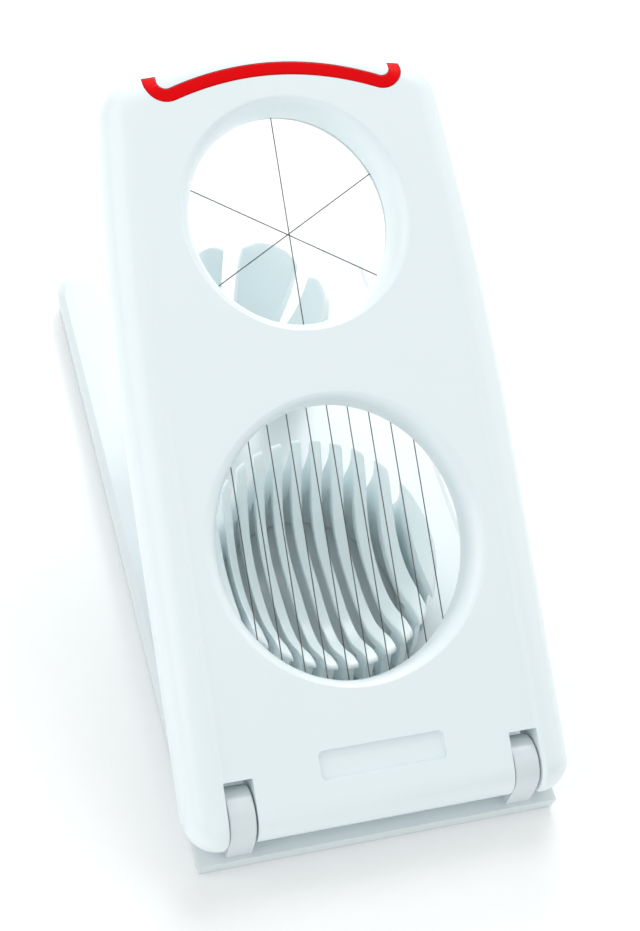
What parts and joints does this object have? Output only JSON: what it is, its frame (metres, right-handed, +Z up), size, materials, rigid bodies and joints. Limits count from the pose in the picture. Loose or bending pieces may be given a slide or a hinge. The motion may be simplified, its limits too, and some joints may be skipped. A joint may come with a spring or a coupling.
{
  "type": "egg slicer",
  "caption": "Hinged kitchen egg slicer: a flat base with a slotted slicing cradle and a petalled wedge cup, under a lid strung with steel wires for slices and for wedges.",
  "frame": {"origin": "middle of the footprint, on the surface the base rests on", "axes": "+X across the slicer, +Y from the hinge towards the free end, +Z up"},
  "size_m": [0.092, 0.1799, 0.0985],
  "materials": {
    "base_plastic": "satin white moulded plastic",
    "lid_plastic": "satin white moulded plastic",
    "cradle_plastic": "satin cool-white moulded plastic",
    "cup_plastic": "satin cool-white moulded plastic",
    "ring_plastic": "matt white plastic",
    "accent_red": "smooth red plastic",
    "wire_steel": "drawn stainless wire",
    "pin_steel": "turned stainless pin"
  },
  "bodies": {
    "base": {"base_tray": "base_plastic", "slicing_cradle": "cradle_plastic", "wedge_cup": "cup_plastic", "hinge_pin_left": "pin_steel", "hinge_pin_right": "pin_steel"},
    "lid": {"lid_frame": "lid_plastic", "accent_stripe": "accent_red", "slice_clamp_ring": "ring_plastic", "wedge_clamp_ring": "ring_plastic", "slice_wire_01": "wire_steel", "slice_wire_02": "wire_steel", "slice_wire_03": "wire_steel", "slice_wire_04": "wire_steel", "slice_wire_05": "wire_steel", "slice_wire_06": "wire_steel", "slice_wire_07": "wire_steel", "slice_wire_08": "wire_steel", "slice_wire_09": "wire_steel", "slice_wire_10": "wire_steel", "wedge_wire_1": "wire_steel", "wedge_wire_2": "wire_steel", "wedge_wire_3": "wire_steel"}
  },
  "joints": [
    {"name": "lid_hinge", "type": "hinge", "parent": "base", "child": "lid", "pos_m": [0, -0.0823, 0.0113], "axis": [1, 0, 0], "range_deg": [-28.2, 76.8]}
  ]
}
